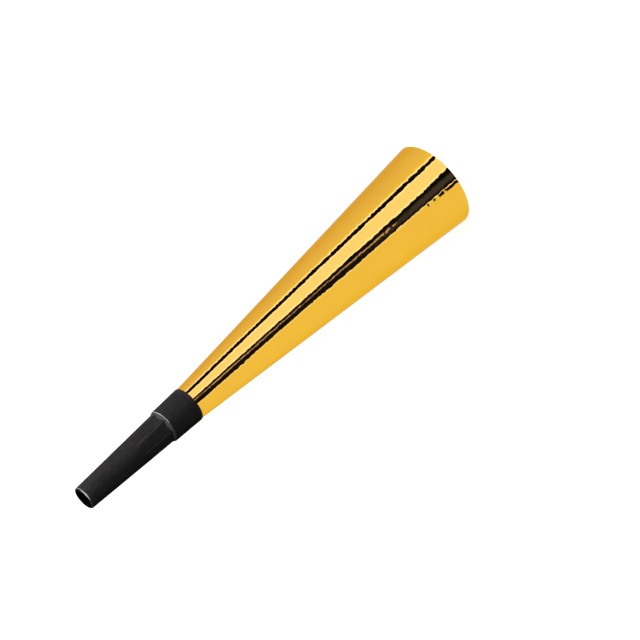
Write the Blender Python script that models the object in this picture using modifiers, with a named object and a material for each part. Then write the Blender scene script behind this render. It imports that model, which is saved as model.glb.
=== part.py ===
"""Party horn: a cone of rolled foil board, pushed into a moulded mouthpiece that holds a beating reed.

The horn stands on its bell. The origin is the centre of the bell's rim, +Z runs up the axis to the mouth,
and -Y is the side that the reed faces. All sizes are in metres.
"""

import bmesh
import bpy
from math import acos, asin, cos, degrees, pi, radians, sin, tan, tau
from mathutils import Matrix, Vector

MM = 0.001

# Cone: one sheet of foil board, rolled up with a glued lap
BELL_RADIUS = 22.1 * MM
NECK_RADIUS = 8.43 * MM
CONE_SHOWN = 163.4 * MM
BOARD = 0.4 * MM
LAP_WIDTH = 8.0 * MM
LAP_CLIMB = 6.0 * MM
GLUE_LINE = 0.1 * MM
SEAM_AZIMUTH = radians(112)

# Mouthpiece: a collar with a socket for the cone, and a stem for the lips
COLLAR_LENGTH = 15.35 * MM
COLLAR_TOP_RADIUS = 8.27 * MM
LIP_WALL = 0.22 * MM
LIP_ROUND = 0.15 * MM
SOCKET_DEPTH = 13.4 * MM
SOCKET_GAP = 0.12 * MM
SHOULDER_SLOPE = radians(30)
SHOULDER_ROUND = 0.8 * MM
STEM_LENGTH = 49.85 * MM
STEM_TIP_RADIUS = 5.65 * MM
STEM_ROOT_RADIUS = 7.79 * MM
TIP_WALL = 1.05 * MM
TIP_ROUND = 0.5 * MM
BORE_ROUND = 0.15 * MM
BORE_ROOT_RADIUS = 5.85 * MM

# Eight soft grip flats at the root of the stem
FLAT_COUNT = 8
FLAT_LENGTH = 18.5 * MM
FLAT_ROOT_DISTANCE = 7.19 * MM
FLAT_CORNER_AZIMUTH = radians(15)

# Reed unit: plug and shallot in one moulding, a vibrating tongue and the ring that clamps it
PLUG_RADIUS = 6.2 * MM
PLUG_LENGTH = 6.0 * MM
PLUG_CHAMFER = 0.4 * MM
SHALLOT_RADIUS = 3.4 * MM
SHALLOT_LENGTH = 24.0 * MM
SHALLOT_TIP_ROUND = 1.2 * MM
SHALLOT_TIP_WALL = 1.4 * MM
BED_DISTANCE = 0.9 * MM
CHANNEL_RADIUS = 2.2 * MM
CHANNEL_DISTANCE = 0.5 * MM
TONGUE_WIDTH = 4.8 * MM
TONGUE_LENGTH = 16.5 * MM
TONGUE_THICKNESS = 0.2 * MM
TONGUE_OPENING = 0.85 * MM
RING_RADIUS = 4.5 * MM
RING_HEIGHT = 3.2 * MM

# Clearances between neighbouring pieces
SEAT_GAP = 0.3 * MM
PLUG_GAP = 0.15 * MM
CLAMP_GAP = 0.3 * MM
RING_GAP = 0.15 * MM

# Facets
ROUND_STEPS = 64
CONE_STEPS = 84
CONE_SECTIONS = 5
LAP_STEPS = 6
CLIMB_STEPS = 8
REED_STEPS = 32
ARC_STEPS = 4

# Points closer than this are one point, and cutters reach this far past what they cut
MERGE_DISTANCE = 0.001 * MM
CUTTER_REACH = 5.0 * MM

# Heights and places that follow from the sizes above
LIP_Z = CONE_SHOWN
SHOULDER_Z = LIP_Z + COLLAR_LENGTH
SHOULDER_TOP_RADIUS = COLLAR_TOP_RADIUS - SHOULDER_ROUND * (1 - cos(SHOULDER_SLOPE))
SHOULDER_TOP_Z = SHOULDER_Z + SHOULDER_ROUND * sin(SHOULDER_SLOPE)
STEM_ROOT_Z = SHOULDER_TOP_Z + (SHOULDER_TOP_RADIUS - STEM_ROOT_RADIUS) / tan(SHOULDER_SLOPE)
MOUTH_Z = SHOULDER_Z + STEM_LENGTH
SEAT_Z = LIP_Z + SOCKET_DEPTH
CONE_TOP_Z = SEAT_Z - SEAT_GAP
PLUG_BOTTOM_Z = SEAT_Z
PLUG_TOP_Z = PLUG_BOTTOM_Z + PLUG_LENGTH
LEDGE_Z = PLUG_TOP_Z + SEAT_GAP
SHALLOT_TOP_Z = PLUG_TOP_Z + SHALLOT_LENGTH
RING_BOTTOM_Z = PLUG_TOP_Z + CLAMP_GAP
RING_TOP_Z = RING_BOTTOM_Z + RING_HEIGHT
TONGUE_DISTANCE = BED_DISTANCE + CLAMP_GAP + TONGUE_THICKNESS / 2


def clear_scene():
    """Remove every object, so that the horn is all the file holds."""
    for item in list(bpy.data.objects):
        bpy.data.objects.remove(item, do_unlink=True)


def new_collection(name):
    collection = bpy.data.collections.new(name)
    bpy.context.scene.collection.children.link(collection)
    return collection


def new_material(name, colour, roughness, metallic=0.0):
    material = bpy.data.materials.new(name)
    material.use_nodes = True
    shader = material.node_tree.nodes["Principled BSDF"]
    shader.inputs["Base Color"].default_value = (*colour, 1.0)
    shader.inputs["Roughness"].default_value = roughness
    shader.inputs["Metallic"].default_value = metallic
    material.diffuse_color = (*colour, 1.0)
    return material


def add_object(name, data, collection, material=None):
    item = bpy.data.objects.new(name, data)
    collection.objects.link(item)
    if material:
        item.data.materials.append(material)
    return item


def as_cutter(item):
    """Show a cutting shape as wires, and leave it out of the finished part."""
    item.hide_render = True
    item.display_type = "WIRE"
    return item


def boolean(item, operation, cutter):
    modifier = item.modifiers.new(cutter.name, "BOOLEAN")
    modifier.operation = operation
    modifier.solver = "EXACT"
    modifier.object = cutter


def smooth(item, angle=radians(30)):
    item.data.shade_smooth()
    item.data.set_sharp_from_angle(angle=angle)


def turned(name, profile, collection, steps, closed, material=None):
    """Turn a profile of (radius, height) points, given from top to bottom down its outer side."""
    mesh = bpy.data.meshes.new(name)
    points = [(radius, 0.0, height) for radius, height in profile]
    edges = [(i, i + 1) for i in range(len(points) - 1)]
    if closed:
        edges.append((len(points) - 1, 0))
    mesh.from_pydata(points, edges, [])
    item = add_object(name, mesh, collection, material)
    screw = item.modifiers.new("turn", "SCREW")
    screw.axis = "Z"
    screw.steps = steps
    screw.render_steps = steps
    screw.use_merge_vertices = True
    screw.merge_threshold = MERGE_DISTANCE
    screw.use_smooth_shade = True
    return item


def apply_modifiers(item):
    """Put the evaluated shape into the mesh, and drop the modifiers that made it."""
    graph = bpy.context.evaluated_depsgraph_get()
    mesh = bpy.data.meshes.new_from_object(item.evaluated_get(graph))
    item.modifiers.clear()
    old = item.data
    item.data = mesh
    bpy.data.meshes.remove(old)


def arc(centre, radius, start, end, steps=ARC_STEPS):
    """Points on an arc in the (radius, height) plane, between two angles in degrees."""
    angles = [radians(start + (end - start) * i / steps) for i in range(steps + 1)]
    return [(centre[0] + radius * cos(a), centre[1] + radius * sin(a)) for a in angles]


def ease(t):
    t = min(max(t, 0.0), 1.0)
    return t * t * (3 - 2 * t)


def mix(low, high, t):
    return low + (high - low) * t


def cone_radius(z):
    """Outer radius of the rolled cone at a height."""
    return mix(BELL_RADIUS, NECK_RADIUS, z / CONE_SHOWN)


def sheet_section(z):
    """Outer and inner points of the rolled sheet at a height, from its tucked edge to its outer edge."""
    radius = cone_radius(z)
    tuck = BOARD + GLUE_LINE
    lap = LAP_WIDTH / radius
    climb = LAP_CLIMB / radius
    turns = [-lap + lap * i / LAP_STEPS for i in range(LAP_STEPS)]
    turns += [climb * i / CLIMB_STEPS for i in range(CLIMB_STEPS)]
    turns += [mix(climb, tau, i / CONE_STEPS) for i in range(CONE_STEPS + 1)]
    pairs = []
    for turn in turns:
        outer = radius - tuck * (1 - ease(turn / climb))
        direction = Vector((cos(SEAM_AZIMUTH + turn), sin(SEAM_AZIMUTH + turn), 0.0))
        pairs.append((direction * outer, direction * (outer - BOARD)))
    return [(a + Vector((0, 0, z)), b + Vector((0, 0, z))) for a, b in pairs]


def make_cone(collection):
    """The rolled sheet, lofted between sections, because the lap keeps its width as the cone narrows."""
    heights = [CONE_TOP_Z * i / (CONE_SECTIONS - 1) for i in range(CONE_SECTIONS)]
    work = bmesh.new()
    rings = []
    for z in heights:
        rings.append([(work.verts.new(a), work.verts.new(b)) for a, b in sheet_section(z)])
    last = len(rings[0]) - 1
    for low, high in zip(rings, rings[1:]):
        for i in range(last):
            work.faces.new((low[i][0], low[i + 1][0], high[i + 1][0], high[i][0]))
            work.faces.new((low[i][1], high[i][1], high[i + 1][1], low[i + 1][1]))
        work.faces.new((low[0][1], low[0][0], high[0][0], high[0][1]))
        work.faces.new((low[last][0], low[last][1], high[last][1], high[last][0]))
    for i in range(last):
        work.faces.new((rings[0][i][0], rings[0][i][1], rings[0][i + 1][1], rings[0][i + 1][0]))
        work.faces.new((rings[-1][i][1], rings[-1][i][0], rings[-1][i + 1][0], rings[-1][i + 1][1]))
    bmesh.ops.recalc_face_normals(work, faces=work.faces)
    mesh = bpy.data.meshes.new("cone")
    work.to_mesh(mesh)
    work.free()
    foil = new_material("gold_foil_board", (0.86, 0.50, 0.06), 0.16, 1.0)
    cone = add_object("cone", mesh, collection, foil)
    smooth(cone)
    return cone


def mouthpiece_profile():
    """Closed outline of the mouthpiece: down its outside, then up through the socket and the bore."""
    lip_bore = NECK_RADIUS + SOCKET_GAP
    lip_radius = lip_bore + LIP_WALL
    seat_radius = cone_radius(SEAT_Z) + SOCKET_GAP
    plug_bore = PLUG_RADIUS + PLUG_GAP
    tip_bore = STEM_TIP_RADIUS - TIP_WALL
    tip = arc((STEM_TIP_RADIUS - TIP_ROUND, MOUTH_Z - TIP_ROUND), TIP_ROUND, 90, 0)
    corner = (COLLAR_TOP_RADIUS - SHOULDER_ROUND, SHOULDER_Z)
    shoulder = arc(corner, SHOULDER_ROUND, degrees(SHOULDER_SLOPE), 0)
    lip = arc((lip_radius - LIP_ROUND, LIP_Z + LIP_ROUND), LIP_ROUND, 0, -90)
    bore_lip = arc((tip_bore + BORE_ROUND, MOUTH_Z - BORE_ROUND), BORE_ROUND, 180, 90, 2)
    outside = tip + [(STEM_ROOT_RADIUS, STEM_ROOT_Z)] + shoulder + lip
    socket = [(lip_bore, LIP_Z), (seat_radius, SEAT_Z)]
    plug_seat = [(plug_bore, SEAT_Z), (plug_bore, LEDGE_Z)]
    bore = [(BORE_ROOT_RADIUS, LEDGE_Z)] + bore_lip
    return outside + socket + plug_seat + bore


def flats_profile():
    """Octagon that keeps the collar whole and trims the root of the stem to eight flats."""
    to_corner = 1 / cos(pi / FLAT_COUNT)
    fade = FLAT_LENGTH / (MOUTH_Z - STEM_ROOT_Z)
    fade_radius = mix(STEM_ROOT_RADIUS, STEM_TIP_RADIUS, fade)
    spread = (FLAT_ROOT_DISTANCE - fade_radius) / FLAT_LENGTH
    reach = MOUTH_Z + CUTTER_REACH
    top_distance = FLAT_ROOT_DISTANCE - spread * (reach - STEM_ROOT_Z)
    clear = BELL_RADIUS
    top = (max(top_distance, STEM_ROOT_RADIUS) * to_corner, reach)
    fade_point = (fade_radius * to_corner, STEM_ROOT_Z + FLAT_LENGTH)
    root = (FLAT_ROOT_DISTANCE * to_corner, STEM_ROOT_Z)
    return [(0.0, reach), top, fade_point, root, (clear, STEM_ROOT_Z), (clear, 0.0), (0.0, 0.0)]


def make_mouthpiece(collection, cutters):
    black = new_material("black_plastic", (0.027, 0.027, 0.028), 0.42)
    profile = mouthpiece_profile()
    mouthpiece = turned("mouthpiece", profile, collection, ROUND_STEPS, True, black)
    apply_modifiers(mouthpiece)
    flats = turned("mouthpiece_flats", flats_profile(), cutters, FLAT_COUNT, False)
    apply_modifiers(flats)
    flats.data.transform(Matrix.Rotation(FLAT_CORNER_AZIMUTH, 4, "Z"))
    boolean(mouthpiece, "INTERSECT", as_cutter(flats))
    apply_modifiers(mouthpiece)
    smooth(mouthpiece)
    return mouthpiece


def box_between(name, low, high, collection):
    work = bmesh.new()
    bmesh.ops.create_cube(work, size=1.0)
    size = Vector(high) - Vector(low)
    centre = (Vector(high) + Vector(low)) / 2
    place = Matrix.Translation(centre) @ Matrix.Diagonal((*size, 1.0))
    bmesh.ops.transform(work, matrix=place, verts=work.verts)
    mesh = bpy.data.meshes.new(name)
    work.to_mesh(mesh)
    work.free()
    return add_object(name, mesh, collection)


def make_reed_body(collection, cutters):
    """Plug and shallot: turned as one blank, cut flat for the tongue's bed, and opened by the air channel."""
    tip_centre = (SHALLOT_RADIUS - SHALLOT_TIP_ROUND, SHALLOT_TOP_Z - SHALLOT_TIP_ROUND)
    tip = arc(tip_centre, SHALLOT_TIP_ROUND, 90, 0)
    blank = [(0.0, SHALLOT_TOP_Z)] + tip + [(SHALLOT_RADIUS, PLUG_TOP_Z)]
    blank += [(PLUG_RADIUS - PLUG_CHAMFER, PLUG_TOP_Z), (PLUG_RADIUS, PLUG_TOP_Z - PLUG_CHAMFER)]
    blank += [(PLUG_RADIUS, PLUG_BOTTOM_Z), (0.0, PLUG_BOTTOM_Z)]
    ivory = new_material("reed_plastic", (0.72, 0.70, 0.64), 0.45)
    body = turned("reed_body", blank, collection, ROUND_STEPS, False, ivory)
    apply_modifiers(body)
    low = (-PLUG_RADIUS, -PLUG_RADIUS, PLUG_TOP_Z)
    high = (PLUG_RADIUS, -BED_DISTANCE, SHALLOT_TOP_Z + CUTTER_REACH)
    bed = box_between("reed_bed", low, high, cutters)
    channel_top = SHALLOT_TOP_Z - SHALLOT_TIP_WALL
    bore = [(0.0, channel_top), (CHANNEL_RADIUS, channel_top)]
    bore += [(CHANNEL_RADIUS, PLUG_BOTTOM_Z - CUTTER_REACH), (0.0, PLUG_BOTTOM_Z - CUTTER_REACH)]
    channel = turned("reed_channel", bore, cutters, REED_STEPS, False)
    apply_modifiers(channel)
    channel.data.transform(Matrix.Translation((0.0, CHANNEL_DISTANCE, 0.0)))
    boolean(body, "DIFFERENCE", as_cutter(bed))
    boolean(body, "DIFFERENCE", as_cutter(channel))
    apply_modifiers(body)
    smooth(body)
    return body


def flat_piece(name, outlines, thickness, collection, material):
    """A flat piece: closed outlines in the XY plane, filled and given their thickness."""
    curve = bpy.data.curves.new(name, "CURVE")
    curve.dimensions = "2D"
    curve.fill_mode = "BOTH"
    curve.extrude = thickness / 2
    for outline in outlines:
        spline = curve.splines.new("POLY")
        spline.points.add(len(outline) - 1)
        for point, (x, y) in zip(spline.points, outline):
            point.co = (x, y, 0.0, 1.0)
        spline.use_cyclic_u = True
    source = add_object(name + "_outline", curve, collection)
    graph = bpy.context.evaluated_depsgraph_get()
    mesh = bpy.data.meshes.new_from_object(source.evaluated_get(graph))
    bpy.data.objects.remove(source, do_unlink=True)
    bpy.data.curves.remove(curve)
    work = bmesh.new()
    work.from_mesh(mesh)
    bmesh.ops.remove_doubles(work, verts=work.verts, dist=MERGE_DISTANCE)
    bmesh.ops.recalc_face_normals(work, faces=work.faces)
    work.to_mesh(mesh)
    work.free()
    mesh.name = name
    return add_object(name, mesh, collection, material)


def make_reed_ring(collection):
    """Ring round the foot of the shallot, with a D-shaped hole whose straight side holds the tongue down."""
    inner = SHALLOT_RADIUS + RING_GAP
    straight = TONGUE_DISTANCE + TONGUE_THICKNESS / 2 + CLAMP_GAP
    half = acos(straight / inner)
    outer_circle = []
    for i in range(ROUND_STEPS):
        angle = tau * i / ROUND_STEPS
        outer_circle.append((RING_RADIUS * cos(angle), RING_RADIUS * sin(angle)))
    hole = []
    for i in range(ROUND_STEPS):
        angle = mix(-pi / 2 + half, 1.5 * pi - half, i / (ROUND_STEPS - 1))
        hole.append((inner * cos(angle), inner * sin(angle)))
    ivory = new_material("ring_plastic", (0.66, 0.64, 0.58), 0.5)
    ring = flat_piece("reed_ring", [outer_circle, hole], RING_HEIGHT, collection, ivory)
    ring.location = (0.0, 0.0, (RING_BOTTOM_Z + RING_TOP_Z) / 2)
    smooth(ring)
    return ring


def make_reed_tongue(collection):
    """Thin strip with a round tip. Its origin is its hinge line, where it leaves the ring."""
    half = TONGUE_WIDTH / 2
    root = -(RING_HEIGHT - CLAMP_GAP / 2)
    outline = [(half, root)]
    for i in range(REED_STEPS // 2 + 1):
        angle = pi * i / (REED_STEPS // 2)
        outline.append((half * cos(angle), TONGUE_LENGTH - half + half * sin(angle)))
    outline.append((-half, root))
    film = new_material("reed_film", (0.80, 0.78, 0.70), 0.25)
    tongue = flat_piece("reed_tongue", [outline], TONGUE_THICKNESS, collection, film)
    lift = asin(TONGUE_OPENING / TONGUE_LENGTH)
    tongue.location = (0.0, -TONGUE_DISTANCE, RING_TOP_Z)
    tongue.rotation_euler = (pi / 2 + lift, 0.0, 0.0)
    return tongue


def main():
    clear_scene()
    horn = new_collection("party_horn")
    cutters = new_collection("party_horn_cutters")
    make_cone(horn)
    make_mouthpiece(horn, cutters)
    make_reed_body(horn, cutters)
    make_reed_ring(horn)
    make_reed_tongue(horn)


main()
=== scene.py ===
"""Party horn: the finishes of a gold foil cone with a black moulded mouthpiece and a reed inside.

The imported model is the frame. Every size that it sets is read from it, and the rest are properties.
"""

from math import cos, pi, radians, sin, sqrt, tan, tau

import bmesh
import bpy
from mathutils import Matrix, Vector


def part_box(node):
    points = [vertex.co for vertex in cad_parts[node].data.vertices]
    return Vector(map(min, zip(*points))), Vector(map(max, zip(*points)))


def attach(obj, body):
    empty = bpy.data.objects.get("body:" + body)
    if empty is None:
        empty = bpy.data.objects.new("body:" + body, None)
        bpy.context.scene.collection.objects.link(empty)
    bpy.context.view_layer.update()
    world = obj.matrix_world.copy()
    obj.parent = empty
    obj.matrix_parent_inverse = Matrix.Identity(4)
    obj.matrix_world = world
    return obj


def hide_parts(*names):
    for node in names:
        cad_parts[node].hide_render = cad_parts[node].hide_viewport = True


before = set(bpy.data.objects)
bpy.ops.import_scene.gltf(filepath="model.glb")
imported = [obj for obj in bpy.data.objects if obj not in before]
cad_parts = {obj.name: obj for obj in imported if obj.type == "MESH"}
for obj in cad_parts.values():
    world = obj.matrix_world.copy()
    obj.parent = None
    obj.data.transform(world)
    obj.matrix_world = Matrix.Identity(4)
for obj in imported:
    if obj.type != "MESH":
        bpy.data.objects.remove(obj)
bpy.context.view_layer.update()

bl_info = {
    "name": "Party Horn",
    "version": (1, 0, 0),
    "blender": (4, 5, 0),
    "location": "View3D > Sidebar > Party Horn",
    "description": "Builds a foil party horn and the plain stage that it is shown on",
    "category": "Add Mesh",
}

MM = 0.001

# What the frame says
CONE_LOW, CONE_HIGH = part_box("cone")
MOUTHPIECE_LOW, MOUTHPIECE_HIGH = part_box("mouthpiece")
BELL_RADIUS = (CONE_HIGH.x - CONE_LOW.x) / 2
CONE_TOP_Z = CONE_HIGH.z
LIP_Z = MOUTHPIECE_LOW.z
MOUTH_Z = MOUTHPIECE_HIGH.z
LIP_RADIUS = (MOUTHPIECE_HIGH.x - MOUTHPIECE_LOW.x) / 2
PLUG_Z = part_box("reed_body")[0].z

# Fine shape of the mouthpiece
FLAT_COUNT = 8
FLAT_CORNER_ROUND = 0.1 * MM
ROOT_TAPER_RADIUS = 7.6 * MM
SHOULDER_LENGTH = 1.05 * MM
SHOULDER_ROUND = 0.8 * MM
SHOULDER_FILLET = 0.06 * MM
TIP_ROUND = 0.7 * MM
LIP_ROUND = 0.2 * MM
# Inside of the mouthpiece
TIP_WALL = 1.05 * MM
BORE_ROUND = 0.08 * MM
LEDGE_BORE_RADIUS = 5.85 * MM
PLUG_BORE_RADIUS = 6.35 * MM
PLUG_SEAT_HEIGHT = 6.3 * MM
SOCKET_CLEARANCE = 0.06 * MM


class PartyHornSizes(bpy.types.PropertyGroup):
    neck_radius: bpy.props.FloatProperty(
        name="Neck radius", description="Outer radius of the cone where it enters the collar",
        default=8.43 * MM, unit="LENGTH", precision=5)
    board: bpy.props.FloatProperty(
        name="Board", description="Thickness of the foil board",
        default=0.4 * MM, unit="LENGTH", precision=5)
    lap_width: bpy.props.FloatProperty(
        name="Lap", description="Width of the glued lap", default=8.0 * MM, unit="LENGTH", precision=5)
    lap_climb: bpy.props.FloatProperty(
        name="Climb", description="Width over which the board climbs out of the lap",
        default=6.0 * MM, unit="LENGTH", precision=5)
    glue_line: bpy.props.FloatProperty(
        name="Glue line", description="Gap between the layers of the lap",
        default=0.1 * MM, unit="LENGTH", precision=5)
    seam_azimuth: bpy.props.FloatProperty(
        name="Seam", description="Where the lap's outer edge lies, around the axis",
        default=radians(112), unit="ROTATION")
    collar_length: bpy.props.FloatProperty(
        name="Collar", description="Length of the collar", default=15.35 * MM, unit="LENGTH", precision=5)
    shoulder_radius: bpy.props.FloatProperty(
        name="Shoulder radius", description="Radius of the collar at its shoulder",
        default=8.26 * MM, unit="LENGTH", precision=5)
    shoulder_slope: bpy.props.FloatProperty(
        name="Shoulder slope", description="Angle of the shoulder to the axis",
        default=radians(30), unit="ROTATION")
    tip_radius: bpy.props.FloatProperty(
        name="Tip radius", description="Radius of the stem at the mouth end",
        default=5.64 * MM, unit="LENGTH", precision=5)
    root_radius: bpy.props.FloatProperty(
        name="Root radius", description="Radius of the stem at its root, across the corners",
        default=7.73 * MM, unit="LENGTH", precision=5)
    flat_distance: bpy.props.FloatProperty(
        name="Flats", description="Distance of the grip flats from the axis at the stem's root",
        default=7.32 * MM, unit="LENGTH", precision=5)
    flat_length: bpy.props.FloatProperty(
        name="Flat length", description="Length over which the grip flats fade out",
        default=18.5 * MM, unit="LENGTH", precision=5)
    flat_azimuth: bpy.props.FloatProperty(
        name="Flat corner", description="Where a corner between two flats lies, around the axis",
        default=radians(15), unit="ROTATION")


class PartyHornColours(bpy.types.PropertyGroup):
    gold: bpy.props.FloatVectorProperty(
        name="Gold foil", description="Tint of the metal foil", subtype="COLOR", size=3,
        min=0.0, max=1.0, default=(0.866, 0.49, 0.038))
    board: bpy.props.FloatVectorProperty(
        name="Board", description="Plain side and cut edge of the board", subtype="COLOR", size=3,
        min=0.0, max=1.0, default=(0.78, 0.76, 0.71))
    black: bpy.props.FloatVectorProperty(
        name="Mouthpiece", description="Black plastic of the mouthpiece", subtype="COLOR", size=3,
        min=0.0, max=1.0, default=(0.0088, 0.0084, 0.0088))
    # Lighter black, painted along the grip's corners as a highlight
    corner_glint_colour: bpy.props.FloatVectorProperty(
        name="Painted corner highlight", description="Black plastic where the grip's corners are rubbed",
        subtype="COLOR", size=3, min=0.0, max=1.0, default=(0.055, 0.052, 0.048))
    ivory: bpy.props.FloatVectorProperty(
        name="Reed plastic", description="Natural plastic of the reed's plug and ring",
        subtype="COLOR", size=3, min=0.0, max=1.0, default=(0.68, 0.65, 0.56))
    film: bpy.props.FloatVectorProperty(
        name="Reed film", description="Milky film of the reed's tongue", subtype="COLOR", size=3,
        min=0.0, max=1.0, default=(0.74, 0.72, 0.66))


class Wire:
    """A socket whose maths is written with Python's own signs."""

    def __init__(self, tree, socket):
        self.tree = tree
        self.socket = socket

    def __add__(self, other):
        return self.tree.maths("ADD", self, other)

    def __radd__(self, other):
        return self.tree.maths("ADD", other, self)

    def __sub__(self, other):
        return self.tree.maths("SUBTRACT", self, other)

    def __rsub__(self, other):
        return self.tree.maths("SUBTRACT", other, self)

    def __mul__(self, other):
        return self.tree.maths("MULTIPLY", self, other)

    def __rmul__(self, other):
        return self.tree.maths("MULTIPLY", other, self)


class Tree:
    """A node tree, filled by calls that give each node's type, settings and inputs."""

    def __init__(self, tree):
        self.tree = tree
        tree.nodes.clear()

    def node(self, kind, settings=None, inputs=None, output=0):
        made = self.tree.nodes.new(kind)
        for name, value in (settings or {}).items():
            if name == "stops":
                self.set_stops(made.color_ramp, value)
            else:
                setattr(made, name, value)
        for name, value in (inputs or {}).items():
            if isinstance(value, Wire):
                self.tree.links.new(value.socket, made.inputs[name])
            else:
                made.inputs[name].default_value = value
        self.last = made
        return Wire(self, made.outputs[output]) if made.outputs else made

    def maths(self, operation, *values):
        """A Math node on one or two values."""
        return self.node("ShaderNodeMath", {"operation": operation}, dict(enumerate(values)))

    def set_stops(self, ramp, stops):
        ramp.elements[0].position, ramp.elements[0].color = stops[0][0], (*stops[0][1], 1.0)
        ramp.elements[1].position, ramp.elements[1].color = stops[-1][0], (*stops[-1][1], 1.0)
        for position, colour in stops[1:-1]:
            ramp.elements.new(position).color = (*colour, 1.0)

    def place(self, scale=(1.0, 1.0, 1.0)):
        """Object coordinates in metres, stretched by a scale for each axis."""
        point = self.node("ShaderNodeTexCoord", output="Object")
        return self.node("ShaderNodeMapping", None, {"Vector": point, "Scale": scale})

    def noise(self, place, scale, detail=2.0, roughness=0.5):
        settings = {"noise_dimensions": "3D"}
        inputs = {"Vector": place, "Scale": scale, "Detail": detail, "Roughness": roughness}
        return self.node("ShaderNodeTexNoise", settings, inputs)

    def attribute(self, name):
        return self.node("ShaderNodeAttribute", {"attribute_name": name}, output="Fac")

    def fit(self, value, low, high, to_low, to_high):
        """A value carried from one range to another, and held to it."""
        inputs = {"Value": value, "From Min": low, "From Max": high, "To Min": to_low, "To Max": to_high}
        return self.node("ShaderNodeMapRange", {"clamp": True}, inputs)

    def blend(self, factor, first, second):
        """Two colours mixed by a factor."""
        inputs = {0: factor, 6: first, 7: second}
        return self.node("ShaderNodeMix", {"data_type": "RGBA"}, inputs, output=2)

    def bump(self, height, distance, strength=1.0, normal=None):
        inputs = {"Height": height, "Distance": distance, "Strength": strength}
        if normal:
            inputs["Normal"] = normal
        return self.node("ShaderNodeBump", None, inputs)


def new_material(name):
    material = bpy.data.materials.new(name)
    material.use_nodes = True
    return material, Tree(material.node_tree)


def surface(tree, inputs):
    """Principled shader with these inputs, on the material's output."""
    shader = tree.node("ShaderNodeBsdfPrincipled", None, inputs)
    tree.node("ShaderNodeOutputMaterial", None, {"Surface": shader})


def rgba(colour, gain=1.0):
    return (*(min(channel * gain, 1.0) for channel in colour), 1.0)


def foil_material(colours):
    """Mirror foil on board: the board's fibres show through as crinkles, over long soft rolls."""
    material, tree = new_material("gold_foil")
    place = tree.place()
    crinkles = tree.noise(tree.place((1.0, 1.0, 1.5)), 330.0, 0.0, 0.5)
    rolls = tree.noise(tree.place((1.0, 1.0, 0.5)), 120.0, 1.0, 0.5)
    handling = tree.noise(place, 45.0, 3.0, 0.6)
    height = crinkles + rolls
    tint = tree.fit(handling, 0.3, 0.7, 0.0, 1.0)
    surface(tree, {
        "Base Color": tree.blend(tint, rgba(colours.gold, 0.985), rgba(colours.gold, 1.015)),
        "Metallic": 1.0,
        "Roughness": tree.fit(handling, 0.35, 0.75, 0.03, 0.06),
        "Specular Tint": (0.93, 0.7, 0.25, 1.0),
        "Normal": tree.bump(height, 0.00005),
        "Coat Weight": 0.2, "Coat Roughness": 0.04, "Coat IOR": 1.5,
    })
    return material


def board_material(colours):
    """Uncoated board: short fibres, faint mottle and a soft tooth."""
    material, tree = new_material("plain_board")
    place = tree.place((1.0, 1.0, 0.35))
    fibres = tree.noise(place, 1800.0, 4.0, 0.7)
    mottle = tree.noise(tree.place(), 160.0, 3.0, 0.6)
    shade = tree.fit(fibres * 0.6 + mottle * 0.4, 0.3, 0.7, 0.0, 1.0)
    colour = tree.blend(shade, rgba(colours.board, 0.93), rgba(colours.board, 1.04))
    surface(tree, {
        "Base Color": colour, "Roughness": tree.fit(mottle, 0.3, 0.7, 0.78, 0.9),
        "Normal": tree.bump(fibres, 0.00004),
    })
    return material


def edge_material(colours):
    """Cut edge of the board: its plies show as fine lines."""
    material, tree = new_material("board_cut_edge")
    place = tree.place()
    plies = tree.noise(place, 5200.0, 2.0, 0.6)
    fuzz = tree.noise(place, 900.0, 3.0, 0.6)
    shade = tree.fit(plies * 0.5 + fuzz * 0.5, 0.3, 0.7, 0.0, 1.0)
    colour = tree.blend(shade, rgba(colours.board, 0.70), rgba(colours.board, 0.98))
    surface(tree, {"Base Color": colour, "Roughness": 0.9, "Normal": tree.bump(fuzz, 0.00005)})
    return material


def plastic_material(name, colour, rough_low, rough_high, grain, level, corner_glint_colour=None):
    """Moulded plastic: a spark-eroded grain, faint flow marks and handling marks in the gloss.

    Given a corner colour, it also has a painted highlight in that lighter colour along the grip's
    corners, polished edges and a coarser ramp, each from its mesh attribute.
    """
    material, tree = new_material(name)
    place = tree.place()
    fine = tree.noise(place, 2600.0, 2.0, 0.55)
    flow = tree.noise(tree.place((1.0, 1.0, 0.3)), 210.0, 3.0, 0.6)
    marks = tree.noise(place, 70.0, 4.0, 0.65)
    tint = tree.blend(tree.fit(flow, 0.3, 0.7, 0.0, 1.0), rgba(colour, 0.88), rgba(colour, 1.12))
    roughness = tree.fit(marks * 0.6 + fine * 0.4, 0.35, 0.65, rough_low, rough_high)
    inputs = {
        "Base Color": tint,
        "Roughness": roughness,
        "Specular IOR Level": level,
        "Normal": tree.bump(fine + flow * 0.6, grain),
    }
    if corner_glint_colour:
        # Painted highlight: the lighter corner colour, mixed in along the grip's corners by the corner
        # attribute
        inputs["Base Color"] = tree.blend(tree.attribute("wear"), tint, rgba(corner_glint_colour))
        inputs["Roughness"] = roughness + tree.attribute("coarse") * 0.3
        inputs["Coat Weight"] = tree.attribute("polish")
        inputs["Coat Roughness"] = 0.12
        inputs["Coat IOR"] = 1.5
    surface(tree, inputs)
    return material


def link(item):
    bpy.context.scene.collection.objects.link(item)
    return item


def mesh_object(name, mesh, materials):
    item = link(bpy.data.objects.new(name, mesh))
    for material in materials:
        item.data.materials.append(material)
    return item


def ease(t):
    t = min(max(t, 0.0), 1.0)
    return t * t * (3 - 2 * t)


def mix(low, high, t):
    return low + (high - low) * t


def cone_radius(sizes, z):
    return mix(BELL_RADIUS, sizes.neck_radius, z / LIP_Z)


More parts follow.
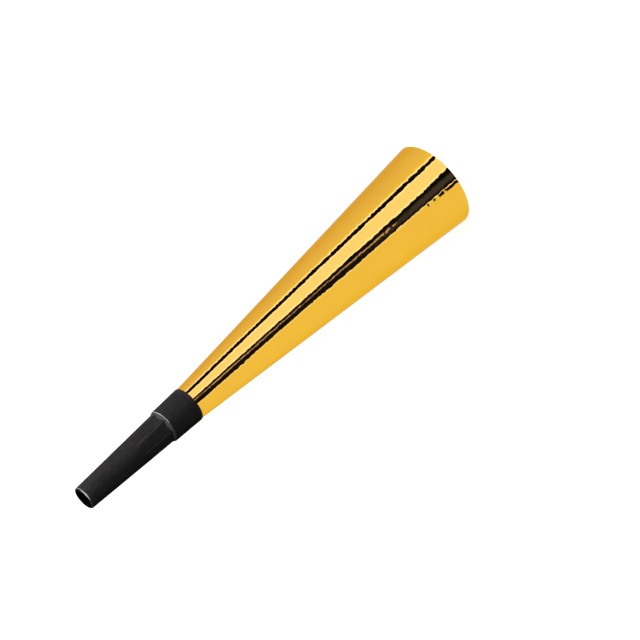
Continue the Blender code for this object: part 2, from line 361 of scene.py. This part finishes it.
class GeometryTree(Tree):
    """A Geometry Nodes group with named inputs, whose maths uses the same signs."""

    def __init__(self, name):
        group = bpy.data.node_groups.new(name, "GeometryNodeTree")
        super().__init__(group)
        self.group = group
        group.interface.new_socket("Geometry", in_out="OUTPUT", socket_type="NodeSocketGeometry")
        self.start = group.nodes.new("NodeGroupInput")
        self.end = group.nodes.new("NodeGroupOutput")

    def size(self, name, value, kind="NodeSocketFloat"):
        socket = self.group.interface.new_socket(name, in_out="INPUT", socket_type=kind)
        socket.default_value = value
        self.values = getattr(self, "values", {})
        self.values[socket.identifier] = value
        return Wire(self, self.start.outputs[name])

    def finish(self, geometry):
        self.group.links.new(geometry.socket, self.end.inputs["Geometry"])

    def mesh(self, name):
        """Run the tree once, and keep what it makes as a plain mesh."""
        carrier = link(bpy.data.objects.new(name + "_nodes", bpy.data.meshes.new(name)))
        modifier = carrier.modifiers.new(name, "NODES")
        modifier.node_group = self.group
        for identifier, value in self.values.items():
            modifier[identifier] = value
        graph = bpy.context.evaluated_depsgraph_get()
        mesh = bpy.data.meshes.new_from_object(carrier.evaluated_get(graph))
        bpy.data.objects.remove(carrier, do_unlink=True)
        return mesh


def rolled_sheet_tree(sizes, materials):
    """The cone by its rule: a flat grid rolled up, with one edge tucked under the other."""
    tree = GeometryTree("rolled_foil_board")
    bell = tree.size("Bell radius", BELL_RADIUS)
    neck = tree.size("Neck radius", cone_radius(sizes, CONE_TOP_Z))
    height = tree.size("Height", CONE_TOP_Z)
    board = tree.size("Board", sizes.board)
    lap = tree.size("Lap width", sizes.lap_width)
    climb = tree.size("Climb width", sizes.lap_climb)
    glue = tree.size("Glue line", sizes.glue_line)
    seam = tree.size("Seam azimuth", sizes.seam_azimuth)
    around = tree.size("Points around", 540, "NodeSocketInt")
    along = tree.size("Points along", 60, "NodeSocketInt")
    sheet = tree.node("GeometryNodeMeshGrid", None, {
        "Size X": 1.0, "Size Y": 1.0, "Vertices X": around, "Vertices Y": along})
    place = tree.node("GeometryNodeInputPosition")
    tree.node("ShaderNodeSeparateXYZ", None, {0: place})
    split = tree.last
    across = Wire(tree, split.outputs["X"]) + 0.5
    up = Wire(tree, split.outputs["Y"]) + 0.5
    radius = bell + (neck - bell) * up
    lap_turn = tree.maths("DIVIDE", lap, radius)
    climb_turn = tree.maths("DIVIDE", climb, radius)
    turn = across * (lap_turn + tau) - lap_turn
    risen = tree.node("ShaderNodeMapRange", {"interpolation_type": "SMOOTHSTEP"}, {
        "Value": turn, "From Min": 0.0, "From Max": climb_turn, "To Min": 0.0, "To Max": 1.0})
    outer = radius - (board + glue) * (1.0 - risen)
    azimuth = turn + seam
    x = outer * tree.maths("COSINE", azimuth)
    y = outer * tree.maths("SINE", azimuth)
    inward = tree.node("ShaderNodeCombineXYZ", None, {
        "X": -1.0 * tree.maths("COSINE", azimuth), "Y": -1.0 * tree.maths("SINE", azimuth), "Z": 0.0})
    marked = tree.node(
        "GeometryNodeStoreNamedAttribute", {"data_type": "FLOAT_VECTOR", "domain": "POINT"},
        {"Geometry": sheet, "Name": "inward", "Value": inward})
    point = tree.node("ShaderNodeCombineXYZ", None, {"X": x, "Y": y, "Z": up * height})
    rolled = tree.node("GeometryNodeSetPosition", None, {"Geometry": marked, "Position": point})
    solid = tree.node("GeometryNodeRealizeInstances", None, {"Geometry": rolled})
    tree.finish(tree.node("GeometryNodeSetMaterial", None, {"Geometry": solid, "Material": materials[0]}))
    return tree


def thicken_sheet(mesh, thickness):
    """Give the rolled sheet its board: an inner side at an even thickness, and cut edges all round."""
    work = bmesh.new()
    work.from_mesh(mesh)
    inward = work.verts.layers.float_vector["inward"]
    work.normal_update()
    outer_faces = list(work.faces)
    face = outer_faces[len(outer_faces) // 2]
    if face.normal.dot(face.verts[0][inward]) > 0:
        bmesh.ops.reverse_faces(work, faces=outer_faces)
    border = [edge for edge in work.edges if edge.is_boundary]
    twins = {}
    for vert in list(work.verts):
        twins[vert] = work.verts.new(vert.co + vert[inward] * thickness)
    for outer in outer_faces:
        outer.material_index = 0
        inner = work.faces.new([twins[vert] for vert in reversed(outer.verts)])
        inner.material_index = 1
    for edge in border:
        loop = edge.link_loops[0]
        first, second = loop.vert, loop.link_loop_next.vert
        cut = work.faces.new((second, first, twins[first], twins[second]))
        cut.material_index = 2
    work.normal_update()
    work.to_mesh(mesh)
    work.free()
    mesh.attributes.remove(mesh.attributes["inward"])


def smooth(item, angle=radians(35)):
    item.data.shade_smooth()
    item.data.set_sharp_from_angle(angle=angle)


def settings():
    scene = bpy.context.scene
    return scene.party_horn_sizes, scene.party_horn_colours


class PARTYHORN_OT_cone(bpy.types.Operator):
    """Roll the foil board into the cone"""

    bl_idname = "party_horn.cone"
    bl_label = "Foil cone"

    def execute(self, context):
        sizes, colours = settings()
        materials = [foil_material(colours), board_material(colours), edge_material(colours)]
        mesh = rolled_sheet_tree(sizes, materials).mesh("foil_cone")
        mesh.materials.clear()
        thicken_sheet(mesh, sizes.board)
        cone = mesh_object("foil_cone", mesh, materials)
        smooth(cone)
        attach(cone, "horn")
        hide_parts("cone")
        return {"FINISHED"}


def stem_radius(sizes, z, azimuth):
    """Outer radius of the stem: a taper that swells at the root, trimmed there to eight soft flats."""
    root_z = LIP_Z + sizes.collar_length + SHOULDER_LENGTH
    length = MOUTH_Z - root_z
    taper = mix(sizes.tip_radius, ROOT_TAPER_RADIUS, (MOUTH_Z - z) / length)
    near = ease((sizes.flat_length - (z - root_z)) / sizes.flat_length)
    blank = taper + (sizes.root_radius - ROOT_TAPER_RADIUS) * near
    if z > root_z + sizes.flat_length:
        return blank
    off = flat_angle(sizes, azimuth) - pi / FLAT_COUNT
    fade_radius = mix(sizes.tip_radius, ROOT_TAPER_RADIUS, 1 - sizes.flat_length / length)
    spread = (sizes.flat_distance - fade_radius) / sizes.flat_length
    flat = (sizes.flat_distance - spread * (z - root_z)) / cos(off)
    trimmed = soft_least(blank, flat, FLAT_CORNER_ROUND)
    return mix(blank, trimmed, ease((z - root_z + 0.3 * MM) / (0.9 * MM)))


def flat_angle(sizes, azimuth):
    """Angle past the last corner between two flats."""
    return (azimuth - sizes.flat_azimuth) % (tau / FLAT_COUNT)


def near_line(away, width):
    return ease(1 - abs(away) / width)


def wear(sizes, z, azimuth):
    """How much painted highlight a point gets, from 0 to 1: the corners between the flats."""
    root_z = LIP_Z + sizes.collar_length + SHOULDER_LENGTH
    past = flat_angle(sizes, azimuth)
    away = min(past, tau / FLAT_COUNT - past) * sizes.root_radius
    start = ease((z - root_z - 0.6 * MM) / (1.5 * MM))
    stop = ease((root_z + sizes.flat_length - z) / (3.5 * MM))
    return 0.6 * near_line(away, 0.35 * MM) * start * stop


def polish(sizes, z):
    """How smooth the moulding is, from 0 to 1: the shoulder's corner and the rounding at the mouth."""
    shoulder = near_line(z - LIP_Z - sizes.collar_length - 0.2 * MM, 0.5 * MM)
    return max(shoulder, near_line(z - MOUTH_Z + 0.3 * MM, 0.5 * MM))


def coarse(sizes, z):
    """How coarse the grain is, from 0 to 1: the shoulder's ramp up to the stem."""
    rise = z - LIP_Z - sizes.collar_length
    return ease((rise - 0.35 * MM) / (0.3 * MM)) * ease((SHOULDER_LENGTH + 0.9 * MM - rise) / (0.6 * MM))


def soft_least(first, second, soft):
    """The lesser of two sizes, with a rounded change from one to the other."""
    gap = max(soft - abs(first - second), 0.0) / soft
    return min(first, second) - gap * gap * soft / 4


def soft_most(first, second, soft):
    return -soft_least(-first, -second, soft)


def shoulder_radius(sizes, z):
    """Collar that turns over a rounded corner into the shoulder's ramp."""
    corner_z = LIP_Z + sizes.collar_length
    rise = z - corner_z
    if rise <= 0:
        return mix(LIP_RADIUS, sizes.shoulder_radius, (z - LIP_Z) / sizes.collar_length)
    turned = min(rise, SHOULDER_ROUND * sin(sizes.shoulder_slope))
    rounded = sizes.shoulder_radius - SHOULDER_ROUND + sqrt(SHOULDER_ROUND ** 2 - turned ** 2)
    return rounded - (rise - turned) * tan(sizes.shoulder_slope)


def outside_radius(sizes, z, azimuth):
    """Outer radius of the whole mouthpiece at a height and an azimuth."""
    radius = soft_most(stem_radius(sizes, z, azimuth), shoulder_radius(sizes, z), SHOULDER_FILLET)
    rise = max(z - (MOUTH_Z - TIP_ROUND), 0.0)
    radius -= TIP_ROUND - sqrt(max(TIP_ROUND ** 2 - rise ** 2, 0.0))
    drop = max(LIP_Z + LIP_ROUND - z, 0.0)
    return radius - (LIP_ROUND - sqrt(max(LIP_ROUND ** 2 - drop ** 2, 0.0)))


def outside_heights(sizes):
    """Heights of the rings, close together where the outline bends."""
    shoulder_z = LIP_Z + sizes.collar_length
    heights = [LIP_Z + LIP_ROUND * (1 - cos(i * pi / 16)) for i in range(9)]
    heights += [mix(LIP_Z + 0.6 * MM, shoulder_z - 1.2 * MM, i / 10) for i in range(11)]
    heights += [mix(shoulder_z - 1.05 * MM, shoulder_z + 3.4 * MM, i / 36) for i in range(37)]
    heights += [mix(shoulder_z + 3.8 * MM, MOUTH_Z - 1.1 * MM, i / 46) for i in range(47)]
    heights += [MOUTH_Z - TIP_ROUND * (1 - sin(i * pi / 24)) for i in range(13)]
    return heights


def inside_profile(sizes):
    """Bore and socket, from the mouth down: (radius, height)."""
    bore = sizes.tip_radius - TIP_WALL
    ledge_z = PLUG_Z + PLUG_SEAT_HEIGHT
    points = []
    for i in range(5):
        angle = i * pi / 8
        points.append((bore + BORE_ROUND * (1 - sin(angle)), MOUTH_Z - BORE_ROUND * (1 - cos(angle))))
    for i in range(1, 13):
        points.append((mix(bore, LEDGE_BORE_RADIUS, i / 12), mix(MOUTH_Z - 0.4 * MM, ledge_z, i / 12)))
    seat = cone_radius(sizes, PLUG_Z) + SOCKET_CLEARANCE
    points += [(PLUG_BORE_RADIUS, ledge_z), (PLUG_BORE_RADIUS, PLUG_Z), (seat, PLUG_Z)]
    points += [(sizes.neck_radius + SOCKET_CLEARANCE, LIP_Z)]
    return points


def mouthpiece_mesh(sizes, name, steps=384):
    """Loft of the outside and the bore, ring by ring, with its painted corner highlight, polish and
    grain.
    """
    work = bmesh.new()
    highlit = work.verts.layers.float.new("wear")
    smoothed = work.verts.layers.float.new("polish")
    grained = work.verts.layers.float.new("coarse")
    rings = []
    for z in outside_heights(sizes):
        ring = []
        for i in range(steps):
            azimuth = tau * i / steps
            radius = outside_radius(sizes, z, azimuth)
            vert = work.verts.new((radius * cos(azimuth), radius * sin(azimuth), z))
            # Painted highlight along the grip's corners, kept for the material
            vert[highlit] = wear(sizes, z, azimuth)
            vert[smoothed] = polish(sizes, z)
            vert[grained] = coarse(sizes, z)
            ring.append(vert)
        rings.append(ring)
    outside = len(rings)
    for radius, z in inside_profile(sizes):
        rings.append([work.verts.new((radius * cos(tau * i / steps), radius * sin(tau * i / steps), z))
                      for i in range(steps)])
    rings.append(rings[0])
    for level, (low, high) in enumerate(zip(rings, rings[1:])):
        for i in range(steps):
            j = (i + 1) % steps
            face = work.faces.new((low[i], low[j], high[j], high[i]))
            face.material_index = int(level > outside)
    mesh = bpy.data.meshes.new(name)
    work.to_mesh(mesh)
    work.free()
    return mesh


class PARTYHORN_OT_mouthpiece(bpy.types.Operator):
    """Mould the mouthpiece"""

    bl_idname = "party_horn.mouthpiece"
    bl_label = "Mouthpiece"

    def execute(self, context):
        sizes, colours = settings()
        black = plastic_material("black_plastic", colours.black, 0.33, 0.42, 0.000006, 0.17, colours.corner_glint_colour)
        # Inside the bore: the black painted darker, at 0.35 of it, as shade in the hole, with a rough
        # finish and no gloss
        shaded = [0.35 * channel for channel in colours.black]
        bore_shade = plastic_material("bore_painted_shade", shaded, 0.6, 0.7, 0.00001, 0.0)
        mesh = mouthpiece_mesh(sizes, "moulded_mouthpiece")
        mouthpiece = mesh_object("moulded_mouthpiece", mesh, [black, bore_shade])
        smooth(mouthpiece, radians(40))
        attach(mouthpiece, "horn")
        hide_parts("mouthpiece")
        return {"FINISHED"}


class PARTYHORN_OT_reed(bpy.types.Operator):
    """Give the reed's plug, ring and tongue their plastics"""

    bl_idname = "party_horn.reed"
    bl_label = "Reed"

    def execute(self, context):
        _, colours = settings()
        ivory = plastic_material("reed_plastic", colours.ivory, 0.35, 0.55, 0.000015, 0.45)
        film = plastic_material("reed_film", colours.film, 0.18, 0.3, 0.000004, 0.5)
        for node, material in (("reed_body", ivory), ("reed_ring", ivory), ("reed_tongue", film)):
            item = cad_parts[node]
            item.data.materials.clear()
            item.data.materials.append(material)
        return {"FINISHED"}


# Camera, from the photograph's frame of 640 by 640 pixels
FRAME_PIXELS = 640
FOCAL_PIXELS = 2707
SENSOR = 36.0
VIEW_TILT = radians(24.4)
CAMERA_AWAY = 1.1138
AIM_Z = 0.08895
AIM_X = -0.01123
BELL_DIRECTION = radians(42.16)


def make_camera():
    camera = bpy.data.cameras.new("camera")
    camera.sensor_width = SENSOR
    camera.lens = FOCAL_PIXELS / FRAME_PIXELS * SENSOR
    camera.clip_start = 0.01
    item = link(bpy.data.objects.new("camera", camera))
    spot = Vector((0.0, -CAMERA_AWAY, AIM_Z + CAMERA_AWAY * sin(VIEW_TILT) / cos(VIEW_TILT)))
    look = (Vector((AIM_X, 0.0, AIM_Z)) - spot).to_track_quat("-Z", "Y").to_matrix().to_4x4()
    roll = Matrix.Rotation(-(BELL_DIRECTION + pi / 2), 4, "Z")
    item.matrix_world = Matrix.Translation(spot) @ look @ roll
    bpy.context.scene.camera = item


def make_world():
    """White to the camera and to gloss, and an even plain light on everything."""
    world = bpy.data.worlds.new("studio")
    world.use_nodes = True
    bpy.context.scene.world = world
    tree = Tree(world.node_tree)
    tree.node("ShaderNodeLightPath")
    path = tree.last
    seen = Wire(tree, path.outputs["Is Camera Ray"])
    glossy = Wire(tree, path.outputs["Is Glossy Ray"])
    through = Wire(tree, path.outputs["Is Transmission Ray"])
    shown = tree.maths("MAXIMUM", tree.maths("MAXIMUM", seen, glossy), through)
    strength = tree.fit(shown, 0.0, 1.0, 0.6, 1.0)
    light = tree.node("ShaderNodeBackground", None, {"Color": (1.0, 1.0, 1.0, 1.0), "Strength": strength})
    tree.node("ShaderNodeOutputWorld", None, {"Surface": light})


def make_floor():
    """Pale floor that keeps the shadow, meets the white background and is clear from below."""
    work = bmesh.new()
    bmesh.ops.create_grid(work, x_segments=1, y_segments=1, size=6.0)
    mesh = bpy.data.meshes.new("floor")
    work.to_mesh(mesh)
    work.free()
    material, tree = new_material("floor_paper")
    tree.node("ShaderNodeLightPath")
    seen = Wire(tree, tree.last.outputs["Is Camera Ray"])
    grain = tree.noise(tree.place(), 400.0, 2.0, 0.5)
    colour = tree.blend(grain, (0.90, 0.90, 0.90, 1.0), (0.92, 0.92, 0.92, 1.0))
    paper = tree.node("ShaderNodeBsdfDiffuse", None, {"Color": colour})
    lift = tree.node("ShaderNodeEmission", None, {"Color": (1.0, 1.0, 1.0, 1.0), "Strength": 0.55 * seen})
    both = tree.node("ShaderNodeAddShader", None, {0: paper, 1: lift})
    tree.node("ShaderNodeNewGeometry")
    below = Wire(tree, tree.last.outputs["Backfacing"])
    clear = tree.node("ShaderNodeBsdfTransparent")
    sheet = tree.node("ShaderNodeMixShader", None, {0: below, 1: both, 2: clear})
    tree.node("ShaderNodeOutputMaterial", None, {"Surface": sheet})
    floor = mesh_object("floor", mesh, [material])
    floor.visible_glossy = False
    floor.visible_diffuse = False
    floor.visible_shadow = False


def glow_only(item):
    """Stage piece that gloss mirrors and that nothing else sees."""
    item.visible_camera = False
    item.visible_diffuse = False
    item.visible_shadow = False
    item.visible_transmission = False


def round_sheet(name, away, low, high, material):
    """Upright sheet all round the horn."""
    work = bmesh.new()
    edges = []
    for i in range(ROUND_STEPS + 1):
        angle = tau * i / ROUND_STEPS - pi
        edges.append([work.verts.new((away * sin(angle), -away * cos(angle), z)) for z in (low, high)])
    for first, second in zip(edges, edges[1:]):
        work.faces.new((first[0], second[0], second[1], first[1]))
    mesh = bpy.data.meshes.new(name)
    work.to_mesh(mesh)
    work.free()
    glow_only(mesh_object(name, mesh, [material]))


# What the foil mirrors, by angle from the camera's side towards +X: (degrees, strength, colour)
PLAIN = (1.0, 1.0, 1.0)
PALE = (1.0, 1.08, 2.7)
WARM = (1.08, 1.0, 1.3)
FOIL_BANDS = (
    (-180, 0.5, PLAIN), (-171, 0.6, PLAIN), (-160, 0.93, PLAIN), (-120, 1.0, PLAIN), (-60, 1.02, PLAIN),
    (-31, 1.01, PLAIN), (-12, 1.0, PLAIN), (-8, 1.24, PALE), (45, 1.22, PALE), (52, 1.12, PLAIN),
    (62, 0.96, PLAIN), (90, 0.85, WARM), (120, 0.79, WARM), (160, 0.77, WARM), (171, 0.6, WARM),
    (180, 0.5, PLAIN),
)
# The dark band, across its own width of 35 units
SOOT = (1.0, 1.4, 9.0)
SOOT_BANDS = (
    (-17.5, 0.001, SOOT), (-12, 0.002, SOOT), (-8, 0.007, SOOT), (0, 0.007, SOOT), (4, 0.006, SOOT),
    (10, 0.005, SOOT), (13, 0.003, SOOT), (17.5, 0.002, SOOT),
)
GLOW = (1.6, 1.9, 6.0, 1.0)
COPPER = (1.1, 0.88, 2.8, 1.0)
HAZE = (0.045, 0.055, 0.3, 1.0)
BROWN = (0.06, 0.07, 0.45, 1.0)
INK = (0.003, 0.002, 0.01, 1.0)
SOFTBOX = (24.0, 22.8, 21.6, 1.0)
LID = (17.0, 16.2, 15.5, 1.0)
# What the mouthpiece mirrors
SHEEN_BANDS = (
    (-180, 0.0, PLAIN), (-60, 0.01, PLAIN), (0, 0.05, PLAIN), (50, 0.135, PLAIN), (85, 0.15, PLAIN),
    (115, 0.11, PLAIN), (145, 0.01, PLAIN), (160, 0.0, PLAIN), (180, 0.0, PLAIN),
)
# Cards round the horn
ROUND_STEPS = 96
SURROUND_RADIUS = 0.3
SURROUND_LOW = -0.5
WALL_RADIUS = 2.0
WALL_HIGH = LIP_Z + 2.4
# Heights on the surround where the foil's two ends are mirrored
BELL_MIRROR_Z = -0.106
NECK_MIRROR_Z = 0.096
# Hole in the shelf for the collar
SHELF_HOLE = 0.0095


def band_ramp(tree, angle, bands, span=360.0):
    """Colour by angle in degrees, which runs over the span with nought in its middle."""
    stops = []
    for degrees, strength, colour in bands:
        stops.append((degrees / span + 0.5, [strength * channel for channel in colour]))
    return tree.node("ShaderNodeValToRGB", {"stops": stops}, {0: angle * (1 / span) + 0.5})


def angle_and_height(tree):
    """Angle in degrees from the camera's side towards +X, and the height."""
    point = tree.node("ShaderNodeTexCoord", output="Object")
    tree.node("ShaderNodeSeparateXYZ", None, {0: point})
    x, y, z = (Wire(tree, tree.last.outputs[axis]) for axis in "XYZ")
    return tree.maths("ARCTAN2", x, -1.0 * y) * (360 / tau), z


def shine(tree, colour):
    glow = tree.node("ShaderNodeEmission", None, {"Color": colour, "Strength": 1.0})
    tree.node("ShaderNodeOutputMaterial", None, {"Surface": glow})


def between(tree, value, rise_from, rise_to, fall_from, fall_to):
    """Mask over a stretch of values, with soft ends."""
    return tree.fit(value, rise_from, rise_to, 0.0, 1.0) * tree.fit(value, fall_from, fall_to, 1.0, 0.0)


def make_surround():
    """Round reflector for the foil: bright bands, a thin dark line and a dark band with copper in it."""
    material, tree = new_material("surround")
    angle, z = angle_and_height(tree)
    colour = band_ramp(tree, angle, FOIL_BANDS)
    # Thin line, which leans and bends with the height
    rise = z + 0.005
    line = angle - (51.3 + rise * 73.0 + rise * rise * 110.0)
    line = line * tree.fit(z, BELL_MIRROR_Z, NECK_MIRROR_Z, 1.3, 0.6)
    colour = tree.blend(between(tree, line, -11.0, -7.0, 7.0, 13.0) * 0.9, colour, GLOW)
    colour = tree.blend(between(tree, line, -6.2, -5.8, 5.8, 6.2), colour, INK)
    # Edges of the dark band, which widens towards the bell
    band = (angle + 10.5) * tree.fit(z, BELL_MIRROR_Z, NECK_MIRROR_Z, 1.2, 0.67)
    top = 13.4 + tree.fit(z, -0.012, 0.008, 2.0, 0.0) + tree.fit(z, -0.1, -0.062, 6.0, 0.0)
    foot = 11.0 + tree.fit(z, -0.002, 0.016, 3.0, 0.0) + tree.fit(z, -0.1, -0.052, 2.5, 0.0)
    foot = foot + tree.fit(z, 0.055, 0.075, 0.0, 2.3)
    edge = band - top
    colour = tree.blend(between(tree, edge, -1.0, 0.0, 1.0, 6.0) * 0.9, colour, GLOW)
    # Copper spots, haze and brown inside the band
    streaks = tree.noise(tree.place((1.0, 1.0, 24.0)), 26.0, 2.0, 0.6)
    spots = tree.fit(streaks, 0.45, 0.6, 0.1, 1.0)
    bellward = tree.fit(z, -0.06, 0.0, 1.0, 0.0)
    heart = band - 4.2 + bellward * 4.0
    copper = between(tree, heart, -2.2 - bellward * 1.5, -1.2, 1.2, 2.2 + bellward * 1.5)
    copper = copper * spots * tree.fit(z, -0.053, -0.042, 0.0, 1.0)
    soot = tree.blend(copper, band_ramp(tree, band, SOOT_BANDS, 40.0), COPPER)
    haze = between(tree, band, -12.0, -8.0, -3.0, 1.0) * tree.fit(streaks, 0.5, 0.56, 0.0, 1.0) * bellward
    soot = tree.blend(haze, soot, HAZE)
    brown = between(tree, band, -11.0, -5.0, 3.0, 9.0) * tree.fit(z, -0.064, -0.045, 0.9, 0.0)
    soot = tree.blend(brown, soot, BROWN)
    # Pale rim under the band, then the band itself
    colour = tree.blend(between(tree, band + foot, -4.5, -1.0, 0.0, 1.0) * 0.45, colour, GLOW)
    dark = tree.fit(edge, -0.3, 0.3, 1.0, 0.0) * tree.fit(band + foot, -0.3, 0.3, 0.0, 1.0)
    colour = tree.blend(dark, colour, soot)
    # Fine line that leaves the band at the bell
    split = angle + 29.5 - tree.fit(z, -0.084, -0.076, 0.0, 5.0)
    half = tree.fit(z, -0.082, -0.0794, 3.8, 0.0)
    split = tree.fit(split + half, 0.0, 0.5, 0.0, 1.0) * tree.fit(half - split, 0.0, 0.5, 0.0, 1.0)
    shine(tree, tree.blend(split, colour, INK))
    round_sheet("surround", SURROUND_RADIUS, SURROUND_LOW, LIP_Z, material)


def make_softbox():
    """Dark wall round the mouthpiece with a softbox on it, which lies lower the further it goes round."""
    material, tree = new_material("softbox")
    angle, z = angle_and_height(tree)
    steepness = (z - LIP_Z) * (1 / WALL_RADIUS) + angle * 0.0028
    box = between(tree, steepness, 0.24, 0.32, 0.5, 0.57) * between(tree, angle, -8.0, 4.0, 80.0, 150.0)
    shine(tree, tree.blend(box, band_ramp(tree, angle, SHEEN_BANDS), SOFTBOX))
    round_sheet("softbox", WALL_RADIUS, LIP_Z, WALL_HIGH, material)


def make_shelf():
    """Flat ring at the collar's edge, dark and paler towards +X above, which parts the foil's bands
    from what the mouthpiece mirrors."""
    material, tree = new_material("shelf")
    angle, _ = angle_and_height(tree)
    tree.node("ShaderNodeNewGeometry")
    below = Wire(tree, tree.last.outputs["Backfacing"])
    above, under = (band_ramp(tree, angle, bands) for bands in (SHEEN_BANDS, FOIL_BANDS))
    shine(tree, tree.blend(below, above, under))
    work = bmesh.new()
    rings = []
    for away in (SHELF_HOLE, WALL_RADIUS):
        turns = (tau * i / ROUND_STEPS for i in range(ROUND_STEPS))
        rings.append([work.verts.new((away * cos(turn), away * sin(turn), LIP_Z)) for turn in turns])
    for i in range(ROUND_STEPS):
        j = (i + 1) % ROUND_STEPS
        work.faces.new((rings[0][i], rings[1][i], rings[1][j], rings[0][j]))
    mesh = bpy.data.meshes.new("shelf")
    work.to_mesh(mesh)
    work.free()
    glow_only(mesh_object("shelf", mesh, [material]))


def make_lid():
    """Softbox over the mouth, bright in front and dark behind, which draws the near edge of the lip."""
    material, tree = new_material("lid")
    point = tree.node("ShaderNodeTexCoord", output="Object")
    tree.node("ShaderNodeSeparateXYZ", None, {0: point})
    x, y = (Wire(tree, tree.last.outputs[axis]) for axis in "XY")
    shine(tree, tree.blend(tree.fit(y - x * 0.6, 0.0, 0.6, 1.0, 0.0), (0.0, 0.0, 0.0, 1.0), LID))
    work = bmesh.new()
    bmesh.ops.create_circle(work, cap_ends=True, radius=WALL_RADIUS, segments=ROUND_STEPS)
    bmesh.ops.translate(work, verts=work.verts, vec=(0.0, 0.0, WALL_HIGH))
    mesh = bpy.data.meshes.new("lid")
    work.to_mesh(mesh)
    work.free()
    glow_only(mesh_object("lid", mesh, [material]))


def make_lamp(name, azimuth, elevation, width, height, power):
    """A flat lamp one metre away that faces the mouthpiece."""
    light = bpy.data.lights.new(name, "AREA")
    light.shape = "RECTANGLE"
    light.size = width
    light.size_y = height
    light.energy = power
    item = link(bpy.data.objects.new(name, light))
    level = cos(radians(elevation))
    way = Vector((level * sin(radians(azimuth)), -level * cos(radians(azimuth)), sin(radians(elevation))))
    spot = Vector((0.0, 0.0, LIP_Z)) + way
    item.matrix_world = Matrix.Translation(spot) @ way.to_track_quat("Z", "Y").to_matrix().to_4x4()
    item.visible_glossy = False


class PARTYHORN_OT_stage(bpy.types.Operator):
    """Set up the floor, the studio light, the cards that the foil mirrors, and the camera"""

    bl_idname = "party_horn.stage"
    bl_label = "Stage"

    def execute(self, context):
        make_camera()
        make_world()
        make_floor()
        make_lamp("key", 60.0, 35.0, 1.2, 0.6, 7.0)
        make_surround()
        make_softbox()
        make_shelf()
        make_lid()
        bpy.context.scene.view_settings.view_transform = "Standard"
        return {"FINISHED"}


class VIEW3D_PT_party_horn(bpy.types.Panel):
    bl_label = "Party Horn"
    bl_idname = "VIEW3D_PT_party_horn"
    bl_space_type = "VIEW_3D"
    bl_region_type = "UI"
    bl_category = "Party Horn"

    def draw(self, context):
        for group in (context.scene.party_horn_sizes, context.scene.party_horn_colours):
            for name in group.__annotations__:
                self.layout.prop(group, name)
        for operator in OPERATORS:
            self.layout.operator(operator.bl_idname)


OPERATORS = (PARTYHORN_OT_stage, PARTYHORN_OT_cone, PARTYHORN_OT_mouthpiece, PARTYHORN_OT_reed)
CLASSES = (PartyHornSizes, PartyHornColours, *OPERATORS, VIEW3D_PT_party_horn)


def register():
    for cls in CLASSES:
        bpy.utils.register_class(cls)
    bpy.types.Scene.party_horn_sizes = bpy.props.PointerProperty(type=PartyHornSizes)
    bpy.types.Scene.party_horn_colours = bpy.props.PointerProperty(type=PartyHornColours)


def unregister():
    del bpy.types.Scene.party_horn_colours
    del bpy.types.Scene.party_horn_sizes
    for cls in reversed(CLASSES):
        bpy.utils.unregister_class(cls)


def main():
    register()
    bpy.ops.party_horn.stage()
    bpy.ops.party_horn.cone()
    bpy.ops.party_horn.mouthpiece()
    bpy.ops.party_horn.reed()


if __name__ == "__main__":
    main()
